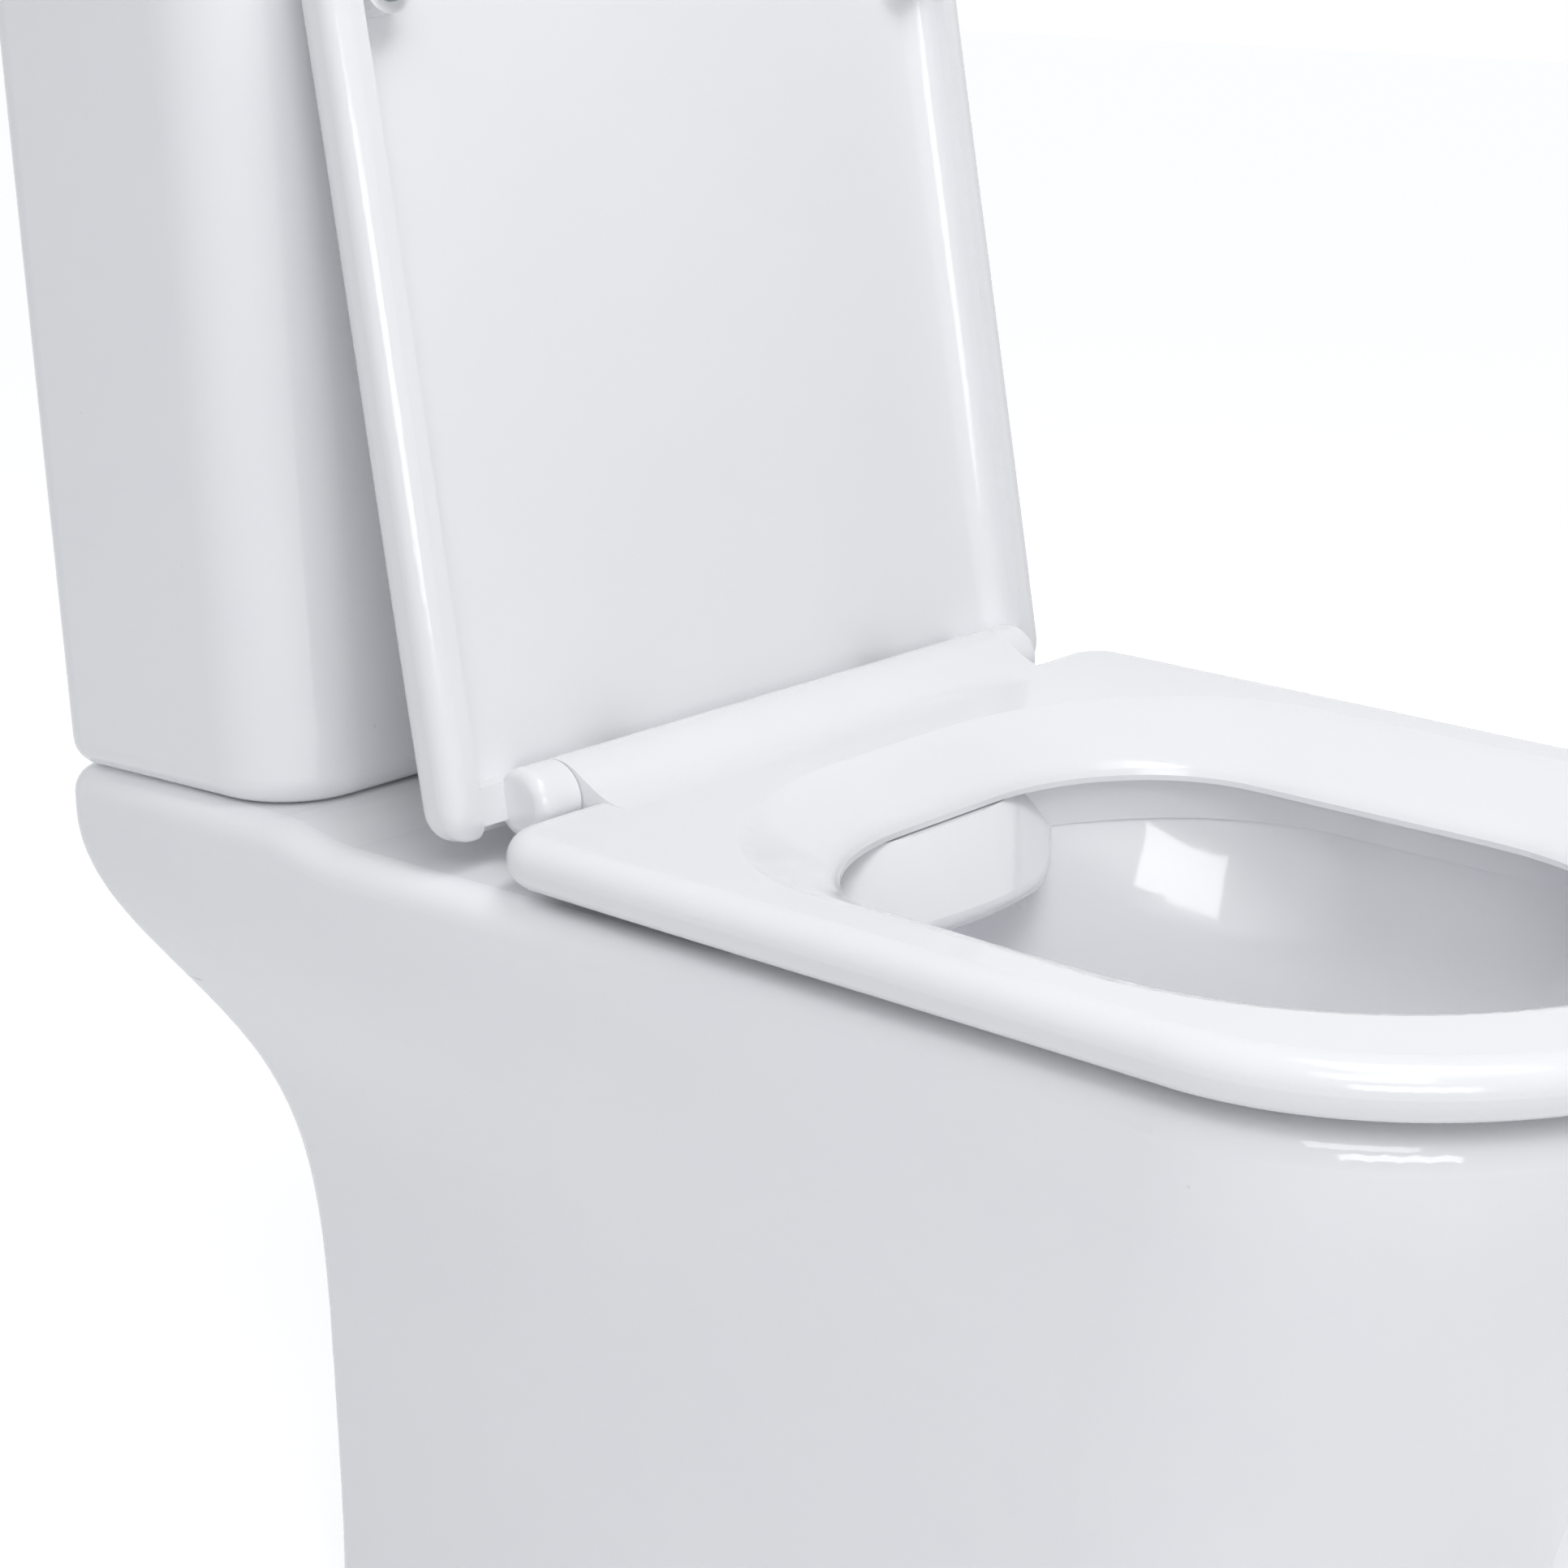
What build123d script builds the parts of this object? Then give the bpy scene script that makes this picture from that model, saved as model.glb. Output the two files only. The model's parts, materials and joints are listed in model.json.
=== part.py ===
from build123d import *
import math
import os

# Close coupled toilet: a rimless ceramic pan with a cistern standing on its
# rear shelf, a soft-close seat and lid on two hinge posts, and the flushing
# and filling gear inside the cistern.  Millimetres, +Z up, the front towards
# -Y.  Inside this file y = 0 is the hinge axis; save() shifts the whole part
# so that its box is centred on the origin.

# ---------------------------------------------------------------- main sizes
SEAT_REACH = 436.0        # hinge axis to the front of the seat
WALL_DIST = 221.0         # hinge axis to the wall plane
HINGE_Y = (SEAT_REACH - WALL_DIST) / 2
RIM_Z = 400.0             # top of the rim and the hinge deck
SHELF_Z = 405.0           # raised platform that carries the cistern
FIT = 0.08                # radial running clearance of pins and rods
SEAT_GAP = 0.3            # clearance between neighbours on different bodies

# pan, outer skin: height, rear y, front y, rear half-width, nose half-width,
# nose depth, rear corner radius
SHELF_HALF = 186.5
RIM_HALF = 166.5
RIM_FRONT = -425.0
RIM_NOSE = 130.0
SKIN_TOP = 386.0
FOOT_HALF = 119.0
FOOT_REAR = 157.0
FOOT_FRONT = -337.0
PAN_SKIN = (
    (0.0, FOOT_REAR, FOOT_FRONT, FOOT_HALF, FOOT_HALF, 110.0, 8.0),
    (50.0, FOOT_REAR, -338.5, FOOT_HALF, FOOT_HALF, 110.5, 8.0),
    (100.0, FOOT_REAR, -341.0, 119.3, 119.3, 111.5, 8.0),
    (150.0, 157.5, -345.5, 120.0, 121.0, 113.0, 8.2),
    (200.0, 158.8, -354.5, 121.8, 125.0, 115.5, 8.4),
    (245.0, 162.2, -369.0, 128.6, 133.5, 119.0, 8.8),
    (285.0, 170.0, -387.0, 144.0, 146.0, 123.5, 9.2),
    (320.0, 188.5, -404.0, 164.0, 156.5, 127.0, 9.6),
    (352.0, 211.5, -417.0, 180.0, 163.5, 129.5, 10.0),
    (SKIN_TOP, WALL_DIST, RIM_FRONT, SHELF_HALF, RIM_HALF, RIM_NOSE, 10.5),
)
RIM_ROUND = 12.0          # rounding of the top outer edge
WALL = 13.0               # ceramic wall of the pedestal
DECK_T = 14.0             # thickness of the hinge deck
STEP_Y0 = 62.0            # where the step up to the platform begins
STEP_Y1 = 98.0            # where it ends

# bowl
BAND_HALF = 132.0
BAND_REAR = -67.0
BAND_FRONT = -388.0
BAND_H = 17.5             # height of the upright band below the rim
LEDGE = 5.0               # undercut below the band
BOWL_WALL = 12.0
SUMP_Z = 96.0             # lowest point of the bowl
BOWL = (                  # share of depth, rear y, front y, half-width
    (0.16, -74.0, -381.0, 128.0),
    (0.36, -84.0, -350.0, 106.0),
    (0.58, -92.0, -302.0, 80.0),
    (0.80, -100.0, -252.0, 56.0),
    (1.00, -118.0, -206.0, 36.0),
)
DECK_EDGE = -50.0         # hidden rear end of the distributor
DIST_FRONT = -84.0        # distributor face at the rim
DIST_FOOT = -105.0        # distributor face at its lower edge
DIST_H = 35.5
DIST_HALF = 90.0
DIST_SWEEP = 26.0         # how far its face curves back at the sides
DIST_BELLY = 36.0         # half-width of the deep middle part
DIST_SIDE_X = 82.0        # from here on it is shallow
DIST_SIDE_H = 20.0        # its height there
DIST_ROUND = 5.0
JET_R = 4.0
JET_X = 48.0
JET_TILT = 30.0
PLENUM_HALF = 54.0        # water chamber behind the distributor's face
PLENUM_FRONT = -69.0
PLENUM_REAR = -42.0
PLENUM_H = 16.0

# trapway and outlet
TRAP_R = 36.0
TRAP_WALL = 11.0
CROWN_Z = 222.0
OUTLET_Z = 185.0
OUTLET_R = 51.0
OUTLET_BORE = 41.0
OUTLET_LEN = 62.0
OUTLET_END = 205.0
TRAP_BEND = 58.0
TRAP_START = -160.0

# water way under the deck
DUCT_HALF = 30.0
DUCT_H = 22.0
DUCT_WALL = 10.0
DUCT_ROOF = 10.0

# holes of the pan
SEAT_BOLT_X = 77.5
SEAT_HOLE_R = 7.0
TANK_BOLT_X = 80.0
TANK_BOLT_HOLE_R = 7.0
VALVE_Y = 158.0           # flush valve, tank bolts and fill valve stand here
FILL_X = 130.0
FILL_PASS_R = 22.0        # hole through the shelf for the fill valve's nut
POCKET_R = 49.0           # round pocket for the coupling gasket
POCKET_D = 30.0

# cistern
TANK_BACK = WALL_DIST - 2.0
TANK_FRONT = 93.0
TANK_HALF_LOW = 189.0
TANK_HALF_TOP = 202.5
TANK_NARROW = 12.5        # sides draw in this much from back to front
TANK_TOP = 757.0
TANK_WALL = 9.0
TANK_FLOOR = 13.0
TANK_CORNER = 40.0
TANK_BACK_CORNER = 13.0
TANK_FOOT_ROUND = 12.0
VALVE_HOLE_R = 31.0
FILL_HOLE_R = 11.5

# cistern lid
LID_H = 28.0
LID_OVER = 1.0
LID_ROUND = 9.0
LID_WALL = 9.0
LID_LIP = 8.0             # depth of the lip that drops into the cistern
LID_LIP_T = 5.0
LID_LIP_GAP = 2.0
BUTTON_HOLE_R = 22.0

# flush button
BEZEL_R = 27.0
BEZEL_T = 3.0
BUTTON_R = 18.5
BUTTON_PROUD = 1.0
BUTTON_T = 6.0
BUTTON_SPLIT = 5.0        # parting line, off the middle
BUTTON_GAP = 0.4
PRESS = 7.0               # travel of both buttons
HOUSE_DEPTH = 24.0
HOUSE_WALL = 2.0
GUIDE_R = 4.0
ROD_R = 2.5
ROD_FULL_X = -7.5
ROD_HALF_X = 13.0
SPRING_R = 4.6
SPRING_WIRE = 0.5

# flush valve
CAGE_R = 36.0
CAGE_WALL = 3.0
CAGE_H = 120.0
CAGE_WINDOW_H = 34.0
CAGE_WINDOW_W = 34.0
HEAD_R = 30.0
HEAD_H = 26.0
HEAD_Z = 670.0
TAIL_R = 28.0
TAIL_BORE = 23.0
TAIL_LEN = 34.0
FLANGE_R = 40.0
FLANGE_T = 4.0
OVERFLOW_R = 14.0
OVERFLOW_BORE = 11.5
OVERFLOW_TOP = 640.0
SEAL_R = 29.0
SEAL_T = 4.0
LIFT = 20.0               # lift of the overflow tube at a flush

# fill valve
FILL_TOP = 690.0
STEM_R = 9.0
SHANK_R = 10.4            # connector thread, below the nut
SHANK_NUT_R = 10.9        # thread in the cistern floor and the nut
SHANK_LEN = 48.0
FILL_NUT_T = 8.0
FLOAT_R = 26.0
FLOAT_H = 62.0
FLOAT_Z = 560.0
FLOAT_ROD_R = 2.0
CAP_R = 20.0
CAP_H = 22.0

# hinge
AXIS_Z = 423.3
BARREL_R = 13.5
BARREL_HALF = 126.5
KNUCKLE_W = 19.0
KNUCKLE_GAP = 0.4
PIN_R = 6.0
PIN_IN = 56.0
PIN_OUT = 139.0
POST_W = 20.0
POST_R = 10.5
POST_NECK = 13.0
POST_DISC_R = 19.0
POST_DISC_T = 4.0

# seat ring
SEAT_TOP = 425.2
SEAT_T = 20.2
SEAT_HALF_REAR = 178.0
SEAT_HALF = 175.0
SEAT_NOSE = 136.0
SEAT_REAR = -15.5
SEAT_CORNER = 20.0
OPEN_HALF = 108.0
OPEN_REAR = -81.0
OPEN_FRONT = -362.0
OPEN_FLAT = 28.0          # half of the straight run at the rear
OPEN_REAR_NOSE = 66.0
OPEN_FRONT_NOSE = 112.0
DISH_REAR = 29.0          # width of the sloping inner band
DISH_SIDE = 46.0
DISH_FRONT = 42.0
DISH_CURVE = (            # share of the width outwards, share of the height
    (0.00, 0.00), (0.03, 0.10), (0.09, 0.21), (0.20, 0.34), (0.40, 0.54), (0.60, 0.74),
    (0.80, 0.91), (1.00, 1.00),
)
LIP_Z = 400.9             # underside of the inner edge
LIP_T = 2.2
SHELL_T = 5.5
EDGE_T = 9.0
RAMP_Y = -36.0
BUMPER_R = 9.0
BUMPER_STEM_R = 3.5
BUMPER_STEM = 5.0
SEAT_BUMPERS = ((-150.0, -120.0), (150.0, -120.0), (-135.0, -330.0), (135.0, -330.0))

# lid
LEAN = 10.3               # lean of the open lid behind the upright
LID_BACK = 25.6           # outer face behind the hinge axis
LID_RIM_T = 21.0          # depth of the lip
LID_PANEL_T = 6.0
LID_HALF_REAR = 172.5
LID_HALF = 170.0
LID_REACH = 431.0
LID_NOSE = 134.0
LID_TAIL = 10.0           # what lies beyond the axis on the hinge side
LID_CORNER = 13.0
LIP_W = 14.0
LID_BUMPER_X = 142.0
LID_BUMPER_IN = 139.0     # from the free end
LID_BUMPER_Y = LID_BUMPER_IN - LID_REACH
LID_BUMPER_R = 7.0
BOSS_R = 11.0

# small hardware
TANK_BOLT_R = 4.0
TANK_BOLT_HEAD_R = 9.0
TANK_BOLT_HEAD_T = 5.0
TANK_BOLT_LEN = 52.0
CONE_R = 13.0
CONE_T = 6.0
WASHER_R = 12.0
WASHER_T = 2.0
NUT_R = 9.0
NUT_T = 8.0
SEAT_BOLT_R = 3.0
SEAT_BOLT_LEN = 44.0
FLOOR_SCREW_R = 4.0
FLOOR_SCREW_Y = 60.0
FLOOR_SCREW_Z = 32.0
CAP_COVER_R = 9.0
CAP_COVER_T = 3.0
BRACKET_T = 3.0
BRACKET_W = 34.0
BRACKET_H = 52.0
BRACKET_FOOT = 40.0
FLOOR_BOLT_R = 4.0

parts = {}


def save(name, shape):
    """Shift the piece to the part's frame and keep it for export."""
    parts[name] = shape.moved(Location((0, HINGE_Y, 0)))


def solids(*shapes):
    """Several separate solids as one compound."""
    found = []
    for shape in shapes:
        found.extend(shape.solids())
    return Compound(children=found)


def disc(r, h, x, y, z):
    """Upright cylinder standing on z."""
    return Pos(x, y, z + h / 2) * Cylinder(r, h)


def tube(r, bore, h, x, y, z):
    """Upright tube standing on z."""
    return disc(r, h, x, y, z) - disc(bore, h + 2, x, y, z - 1)


def rod_x(r, x0, x1, y, z):
    """Cylinder along x from x0 to x1."""
    return Pos((x0 + x1) / 2, y, z) * (Rot(0, 90, 0) * Cylinder(r, abs(x1 - x0)))


def block(x0, x1, y0, y1, z0, z1):
    """Box between two corners."""
    return Pos((x0 + x1) / 2, (y0 + y1) / 2, (z0 + z1) / 2) * Box(x1 - x0, y1 - y0, z1 - z0)


def both(shape):
    """A piece and its mirror image across the middle plane."""
    return solids(shape, shape.mirror(Plane.YZ))


def d_face(z, rear, front, w_rear, w_nose, nose, corner):
    """D outline: straight rear, rounded rear corners, elliptical front."""
    k = corner * (1 - math.sqrt(0.5))
    side = front + nose
    edges = [
        Line((-(w_rear - corner), rear), (w_rear - corner, rear)),
        ThreePointArc((w_rear - corner, rear), (w_rear - k, rear - k), (w_rear, rear - corner)),
        Spline((w_rear, rear - corner), (w_nose, side), tangents=((0, -1), (0, -1))),
        EllipticalCenterArc((0, side), w_nose, nose, 270),
        EllipticalCenterArc((0, side), w_nose, nose, 180),
        Spline((-w_nose, side), (-w_rear, rear - corner), tangents=((0, 1), (0, 1))),
        ThreePointArc((-w_rear, rear - corner), (-w_rear + k, rear - k), (-(w_rear - corner), rear)),
    ]
    return Pos(0, 0, z) * make_face(edges)


def blunt_face(z, rear, front, half, flat, rear_nose, front_nose):
    """Oval whose rear end has a straight middle, flat wide to each side."""
    a = rear - rear_nose
    b = front + front_nose
    corner = half - flat
    edges = [
        EllipticalCenterArc((flat, a), corner, rear_nose, 0),
        Line((flat, rear), (-flat, rear)),
        EllipticalCenterArc((-flat, a), corner, rear_nose, 90),
        Line((-half, a), (-half, b)),
        EllipticalCenterArc((0, b), half, front_nose, 180),
        EllipticalCenterArc((0, b), half, front_nose, 270),
        Line((half, b), (half, a)),
    ]
    return Pos(0, 0, z) * make_face(edges)


def oval_face(z, rear, front, half, rear_nose, front_nose):
    """Closed oval of two half ellipses joined by straight sides."""
    a = rear - rear_nose
    b = front + front_nose
    edges = [
        EllipticalCenterArc((0, a), half, rear_nose, 0),
        EllipticalCenterArc((0, a), half, rear_nose, 90),
        Line((-half, a), (-half, b)),
        EllipticalCenterArc((0, b), half, front_nose, 180),
        EllipticalCenterArc((0, b), half, front_nose, 270),
        Line((half, b), (half, a)),
    ]
    return Pos(0, 0, z) * make_face(edges)


def tank_face(z, back, front, w_back, narrow, r_front, r_back):
    """Four-sided outline with rounded corners, drawn in towards the front."""
    face = make_face(Polyline((-w_back, back), (w_back, back), (w_back - narrow, front),
                              (-(w_back - narrow), front), close=True))
    v_back = face.vertices().filter_by(lambda v: v.Y > (back + front) / 2)
    v_front = face.vertices().filter_by(lambda v: v.Y < (back + front) / 2)
    face = fillet(v_back, r_back)
    v_front = face.vertices().group_by(Axis.Y)[0]
    face = fillet(v_front, r_front)
    return Pos(0, 0, z) * face


# ---------------------------------------------------------------- pan
def pan_skin():
    """Outer skin: lofted pedestal and a rounded rim block with its step."""
    body = loft([d_face(*row) for row in PAN_SKIN])
    cap = extrude(d_face(*PAN_SKIN[-1]), amount=SHELF_Z - SKIN_TOP, dir=(0, 0, 1))
    lift = SHELF_Z - RIM_Z
    profile = make_face([
        Line((STEP_Y1, SHELF_Z), (STEP_Y1, SHELF_Z + 20)),
        Line((STEP_Y1, SHELF_Z + 20), (RIM_FRONT - 50, SHELF_Z + 20)),
        Line((RIM_FRONT - 50, SHELF_Z + 20), (RIM_FRONT - 50, RIM_Z)),
        Line((RIM_FRONT - 50, RIM_Z), (STEP_Y0, RIM_Z)),
        Spline((STEP_Y0, RIM_Z), ((STEP_Y0 + STEP_Y1) / 2, RIM_Z + lift / 2),
               (STEP_Y1, SHELF_Z), tangents=((1, 0), (1, 0))),
    ])
    cutter = extrude(Plane.YZ * profile, amount=SHELF_HALF + 50, both=True)
    cap = cap - cutter
    rim = [e for e in cap.edges() if e.center().Z > RIM_Z - 1 and on_skin(e)]
    cap = fillet(rim, RIM_ROUND)
    return body + cap


def on_skin(edge):
    """True for the top edges that run round the outside."""
    box = edge.bounding_box()
    inner = box.max.X - box.min.X > 2 * (SHELF_HALF - 30) and box.max.Y < WALL_DIST - 5
    return not (inner and box.max.Y - box.min.Y < 1)


def bowl_faces(grow):
    """Sections of the bowl from the ledge down, enlarged by grow."""
    z0 = RIM_Z - BAND_H
    half = BAND_HALF + LEDGE + grow
    faces = [oval_face(z0, BAND_REAR + grow, BAND_FRONT - LEDGE - grow, half, 110.0, 128.0)]
    for share, rear, front, w in BOWL:
        z = z0 - share * (z0 - SUMP_Z) - (grow if share == 1.0 else 0)
        a = w + grow
        length = rear - front + 2 * grow
        faces.append(oval_face(z, rear + grow, front - grow, a, length * 0.42, length * 0.46))
    return faces


def trap_path(extra):
    """Centre line of the trapway from the sump to the outlet."""
    low = SUMP_Z + TRAP_R
    return FilletPolyline((TRAP_START, low), (-62, low), (6, CROWN_Z), (72, CROWN_Z),
                          (118, OUTLET_Z), (OUTLET_END - OUTLET_LEN + 12 + extra, OUTLET_Z),
                          radius=TRAP_BEND)


def trap_tube(r, extra):
    """Trapway of radius r, swept along its centre line."""
    path = Plane.YZ * trap_path(extra)
    start = Plane(origin=(0, TRAP_START, SUMP_Z + TRAP_R), z_dir=(0, 1, 0))
    return sweep(start * Circle(r), path=path)


def pan_body():
    skin = pan_skin()
    floor_rows = [row for row in PAN_SKIN if row[0] < 345]
    rows = []
    for z, rear, front, w_rear, w_nose, nose, corner in floor_rows:
        rows.append((z, 300.0, front + WALL, w_rear - WALL, w_nose - WALL, nose - WALL * 0.5, corner))
    low = loft([d_face(-1.0, *rows[0][1:])] + [d_face(*row) for row in rows[1:]])
    bowl_top = loft(bowl_faces(0.0))
    bowl_out = loft(bowl_faces(BOWL_WALL))
    rear_room = extrude(d_face(rows[-1][0] - 2, 300.0, -52.0, SHELF_HALF - WALL, 140.0, 26.0, 10.0),
                        amount=RIM_Z - DECK_T - rows[-1][0] + 2, dir=(0, 0, 1))
    duct_top = RIM_Z - DUCT_ROOF
    duct_low = duct_top - DUCT_H
    duct_out = block(-DUCT_HALF - DUCT_WALL, DUCT_HALF + DUCT_WALL, PLENUM_FRONT, VALVE_Y + 20,
                     duct_low - DUCT_WALL, RIM_Z)
    duct_out = duct_out + block(-PLENUM_HALF - DUCT_WALL, PLENUM_HALF + DUCT_WALL, PLENUM_FRONT,
                                PLENUM_REAR + DUCT_WALL, duct_low - DUCT_WALL, RIM_Z)
    collar = disc(POCKET_R + WALL, SHELF_Z - duct_low + DUCT_WALL, 0, VALVE_Y, duct_low - DUCT_WALL)
    hollow = low + rear_room
    hollow = hollow - bowl_out - trap_tube(TRAP_R + TRAP_WALL, 0) - duct_out - collar
    spigot = Pos(0, OUTLET_END - OUTLET_LEN / 2, OUTLET_Z) * (Rot(90, 0, 0) * Cylinder(OUTLET_R, OUTLET_LEN))
    pan = skin - hollow + spigot
    band = extrude(oval_face(RIM_Z - BAND_H, BAND_REAR, BAND_FRONT, BAND_HALF, 106.0, 124.0),
                   amount=BAND_H + 10, dir=(0, 0, 1))
    pan = pan - bowl_top - band
    pan = pan + distributor()
    pan = pan - trap_tube(TRAP_R, 0)
    pan = pan - Pos(0, OUTLET_END - OUTLET_LEN / 2 + 1, OUTLET_Z) * (
        Rot(90, 0, 0) * Cylinder(OUTLET_BORE, OUTLET_LEN + 2))
    duct = block(-DUCT_HALF, DUCT_HALF, PLENUM_REAR - 5, VALVE_Y, duct_low, duct_top)
    plenum_mid = (duct_low + duct_top) / 2
    plenum = block(-PLENUM_HALF, PLENUM_HALF, PLENUM_FRONT, PLENUM_REAR,
                   plenum_mid - PLENUM_H / 2, plenum_mid + PLENUM_H / 2)
    pan = pan - duct - plenum - disc(POCKET_R, POCKET_D + 1, 0, VALVE_Y, SHELF_Z - POCKET_D)
    pan = pan - disc(DUCT_HALF, 60, 0, VALVE_Y, duct_low)
    for x in (-JET_X, 0, JET_X):
        jet = Pos(x, PLENUM_FRONT, plenum_mid) * (Rot(-JET_TILT, 0, 0) * Pos(0, 0, -20) * Cylinder(JET_R, 40))
        pan = pan - jet
    for s in (-1, 1):
        pan = pan - disc(SEAT_HOLE_R, 60, s * SEAT_BOLT_X, 0, RIM_Z - 50)
        pan = pan - disc(TANK_BOLT_HOLE_R, 60, s * TANK_BOLT_X, VALVE_Y, SHELF_Z - 50)
        pan = pan - rod_x(FLOOR_SCREW_R, s * (FOOT_HALF - 30), s * (FOOT_HALF + 10),
                          FLOOR_SCREW_Y, FLOOR_SCREW_Z)
    pan = pan - disc(FILL_PASS_R, 60, FILL_X, VALVE_Y, SHELF_Z - 50)
    return pan


def distributor():
    """Bulge at the back of the bowl that spreads the water, deep in the middle."""
    low_z = RIM_Z - DIST_H
    faces = []
    for z, front in ((low_z, DIST_FOOT), (RIM_Z, DIST_FRONT)):
        side = front + DIST_SWEEP
        edge = ThreePointArc((-DIST_HALF, side), (0, front), (DIST_HALF, side))
        back = Polyline((DIST_HALF, side), (DIST_HALF, DECK_EDGE), (-DIST_HALF, DECK_EDGE), (-DIST_HALF, side))
        faces.append(Pos(0, 0, z) * make_face([edge, *back.edges()]))
    side_z = RIM_Z - DIST_SIDE_H
    end = DIST_HALF + 5
    under = make_face([
        Line((-end, side_z), (-DIST_SIDE_X, side_z)),
        Spline((-DIST_SIDE_X, side_z), (-DIST_BELLY, low_z), tangents=((1, 0), (1, 0))),
        Line((-DIST_BELLY, low_z), (DIST_BELLY, low_z)),
        Spline((DIST_BELLY, low_z), (DIST_SIDE_X, side_z), tangents=((1, 0), (1, 0))),
        Line((DIST_SIDE_X, side_z), (end, side_z)),
        Polyline((end, side_z), (end, low_z - 20), (-end, low_z - 20), (-end, side_z)),
    ])
    body = loft(faces) - extrude(Plane.XZ * under, amount=200, both=True)
    mid = [e for e in body.edges() if e.center().Y < DIST_FOOT + DIST_SWEEP - 8 and e.center().Z < side_z + 3]
    return fillet(mid, DIST_ROUND)


# ---------------------------------------------------------------- cistern
def tank_outline(z, inset):
    """Cistern outline at height z, drawn in by inset."""
    share = (z - SHELF_Z) / (TANK_TOP - SHELF_Z)
    half = TANK_HALF_LOW + share * (TANK_HALF_TOP - TANK_HALF_LOW)
    return tank_face(z, TANK_BACK - inset, TANK_FRONT + inset, half - inset, TANK_NARROW,
                     TANK_CORNER - inset, max(TANK_BACK_CORNER - inset, 4.0))


def tank():
    """Hollow cistern, open at the top, with its three floor holes."""
    body = loft([tank_outline(SHELF_Z, 0), tank_outline(TANK_TOP, 0)])
    foot = body.edges().group_by(Axis.Z)[0]
    body = fillet(foot, TANK_FOOT_ROUND)
    room = loft([tank_outline(SHELF_Z + TANK_FLOOR, TANK_WALL), tank_outline(TANK_TOP + 5, TANK_WALL)])
    body = body - room
    body = body - disc(VALVE_HOLE_R, 40, 0, VALVE_Y, SHELF_Z - 5)
    body = body - disc(FILL_HOLE_R, 40, FILL_X, VALVE_Y, SHELF_Z - 5)
    for s in (-1, 1):
        body = body - disc(TANK_BOLT_HOLE_R, 40, s * TANK_BOLT_X, VALVE_Y, SHELF_Z - 5)
    return body


def tank_lid():
    """Cistern lid: rounded slab, hollow below, with a locating lip."""
    slab = extrude(tank_outline(TANK_TOP, -LID_OVER), amount=LID_H, dir=(0, 0, 1))
    slab = fillet(slab.edges().group_by(Axis.Z)[-1], LID_ROUND)
    room = extrude(tank_outline(TANK_TOP, TANK_WALL + LID_LIP_GAP + LID_LIP_T), amount=LID_H - LID_WALL,
                   dir=(0, 0, 1))
    lip = extrude(tank_outline(TANK_TOP, TANK_WALL + LID_LIP_GAP), amount=-LID_LIP, dir=(0, 0, 1))
    lip = lip - extrude(tank_outline(TANK_TOP, TANK_WALL + LID_LIP_GAP + LID_LIP_T), amount=-LID_LIP,
                        dir=(0, 0, 1))
    return slab - room + lip - disc(BUTTON_HOLE_R, LID_H + 4, 0, VALVE_Y, TANK_TOP - 2)


# ---------------------------------------------------------------- flush button
LID_TOP = TANK_TOP + LID_H


def button_housing():
    """Ring on the lid with a cup below that guides both buttons."""
    ring = tube(BEZEL_R, BUTTON_R + BUTTON_GAP, BEZEL_T, 0, VALVE_Y, LID_TOP)
    ring = chamfer(ring.edges().group_by(Axis.Z)[-1].sort_by(SortBy.LENGTH)[-1], 1.2)
    cup = tube(BUTTON_HOLE_R - 0.4, BUTTON_R + BUTTON_GAP, HOUSE_DEPTH, 0, VALVE_Y, LID_TOP - HOUSE_DEPTH)
    floor = disc(BUTTON_HOLE_R - 0.4, HOUSE_WALL, 0, VALVE_Y, LID_TOP - HOUSE_DEPTH)
    nut = tube(BEZEL_R, BUTTON_HOLE_R - 0.4, 5, 0, VALVE_Y, LID_TOP - LID_WALL - 5)
    house = ring + cup + floor + nut
    for x in (ROD_FULL_X, ROD_HALF_X):
        house = house - disc(ROD_R + FIT, HOUSE_DEPTH, x, VALVE_Y, LID_TOP - HOUSE_DEPTH - 2)
    return house


def button(full):
    """One of the two buttons, with its push rod."""
    top = LID_TOP + BEZEL_T + BUTTON_PROUD
    plate = disc(BUTTON_R, BUTTON_T, 0, VALVE_Y, top - BUTTON_T)
    if full:
        cut = block(BUTTON_SPLIT - BUTTON_GAP / 2, 60, 50, 300, top - 30, top + 5)
    else:
        cut = block(-60, BUTTON_SPLIT + BUTTON_GAP / 2, 50, 300, top - 30, top + 5)
    plate = plate - cut
    plate = fillet(plate.edges().group_by(Axis.Z)[-1], 1.0)
    x = ROD_FULL_X if full else ROD_HALF_X
    foot = HEAD_Z + HEAD_H + PRESS + 2.0
    return plate + disc(ROD_R, top - BUTTON_T - foot + 1, x, VALVE_Y, foot)


def button_spring(x):
    """Return spring under one button."""
    low = LID_TOP - HOUSE_DEPTH + HOUSE_WALL
    high = LID_TOP + BEZEL_T + BUTTON_PROUD - BUTTON_T
    height = high - low - 2 * SPRING_WIRE - 0.2
    path = Helix(pitch=height / 4, height=height, radius=SPRING_R - SPRING_WIRE)
    start = Plane(origin=path @ 0, z_dir=path % 0)
    coil = sweep(start * RegularPolygon(SPRING_WIRE, 6), path=path)
    return Pos(x, VALVE_Y, low + SPRING_WIRE + 0.1) * coil


# ---------------------------------------------------------------- flush valve
FLOOR_Z = SHELF_Z + TANK_FLOOR


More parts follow.
